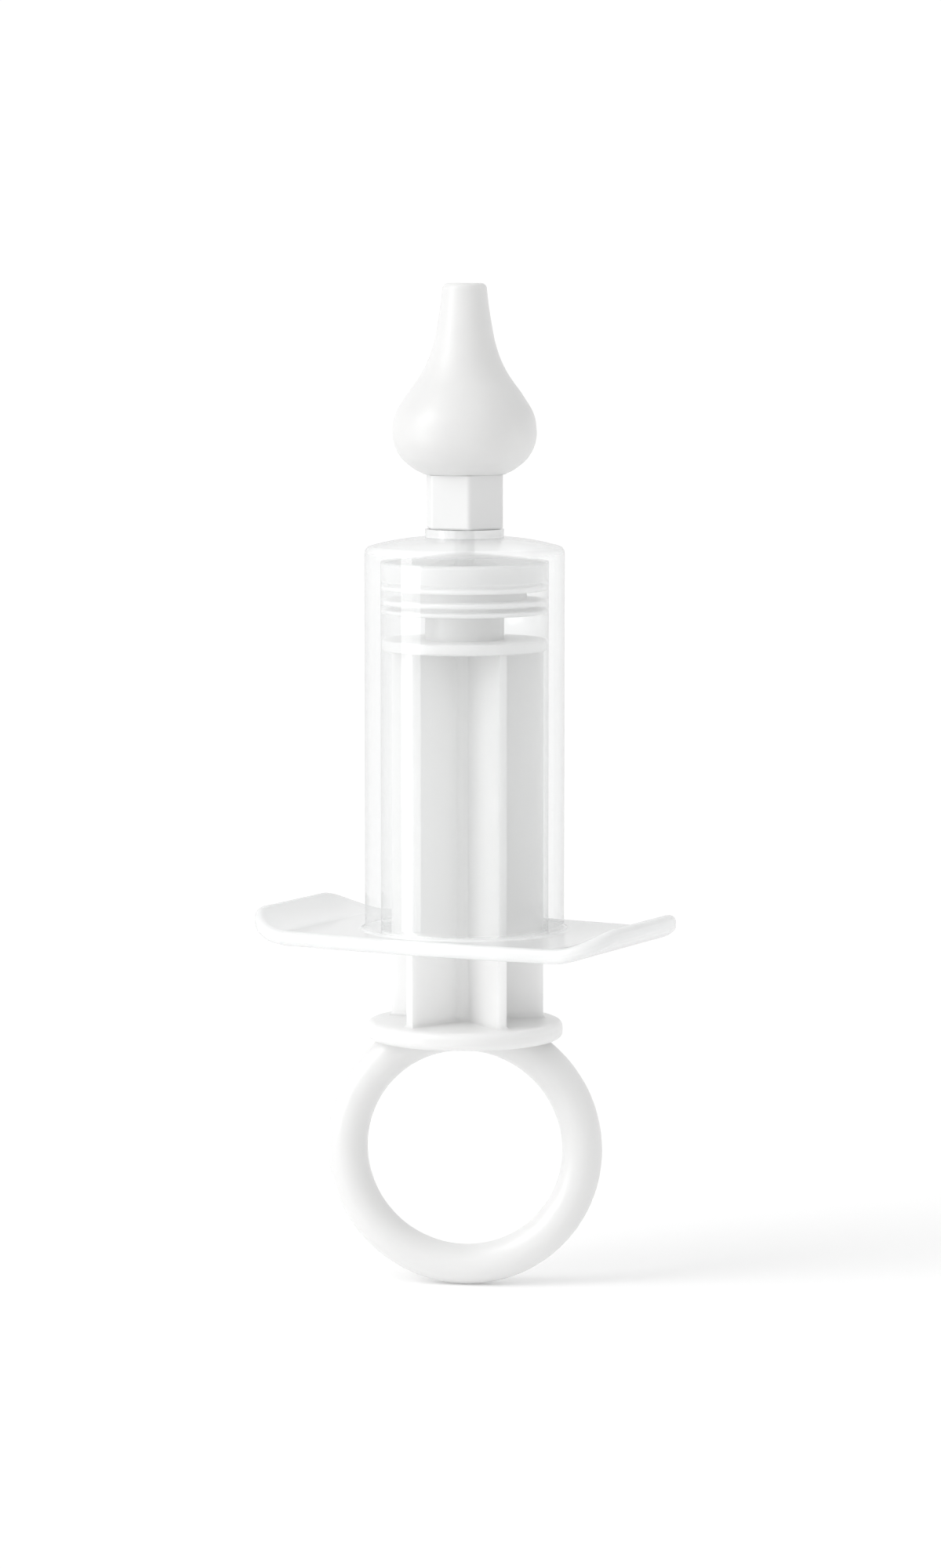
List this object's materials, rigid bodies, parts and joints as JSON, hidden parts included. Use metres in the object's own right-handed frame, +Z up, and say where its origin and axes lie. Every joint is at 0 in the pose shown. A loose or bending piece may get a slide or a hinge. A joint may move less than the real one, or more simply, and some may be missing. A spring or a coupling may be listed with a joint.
{
  "type": "nasal irrigation syringe",
  "caption": "Ring-pull nasal irrigation syringe with a clear barrel, curved finger flange, ribbed plunger, silicone piston and soft bulb nozzle.",
  "frame": {"origin": "on the syringe's axis at the lowest point of the thumb ring, which it stands on in the picture", "axes": "+Z up the syringe axis towards the nozzle tip; the finger flange's wings reach out along X, and Y is across the flange"},
  "size_m": [0.048, 0.0272, 0.12],
  "materials": {
    "clear_plastic": "clear moulded polypropylene, gloss, faintly milky",
    "seal_silicone": "translucent silicone, satin",
    "white_plastic": "white moulded plastic, soft gloss",
    "adapter_plastic": "milky white moulded plastic, soft gloss",
    "white_silicone": "opaque white silicone, satin"
  },
  "bodies": {
    "barrel": {"barrel": "clear_plastic"},
    "piston": {"piston_seal": "seal_silicone"},
    "plunger": {"plunger_rod": "white_plastic"},
    "adapter": {"nozzle_adapter": "adapter_plastic"},
    "nozzle": {"silicone_nozzle": "white_silicone"}
  },
  "joints": [
    {"name": "plunger_slide", "type": "slide", "parent": "barrel", "child": "piston", "axis": [0, 0, -1], "range_m": [0, 0.035]},
    {"name": "plunger_turn", "type": "hinge", "parent": "piston", "child": "plunger", "pos_m": [0, 0, 0.084], "axis": [0, 0, 1], "continuous": true},
    {"name": "adapter_pull", "type": "slide", "parent": "barrel", "child": "adapter", "axis": [0, 0, 1], "range_m": [0, 0.008]},
    {"name": "nozzle_pull", "type": "slide", "parent": "adapter", "child": "nozzle", "axis": [0, 0, 1], "range_m": [0, 0.012]}
  ]
}
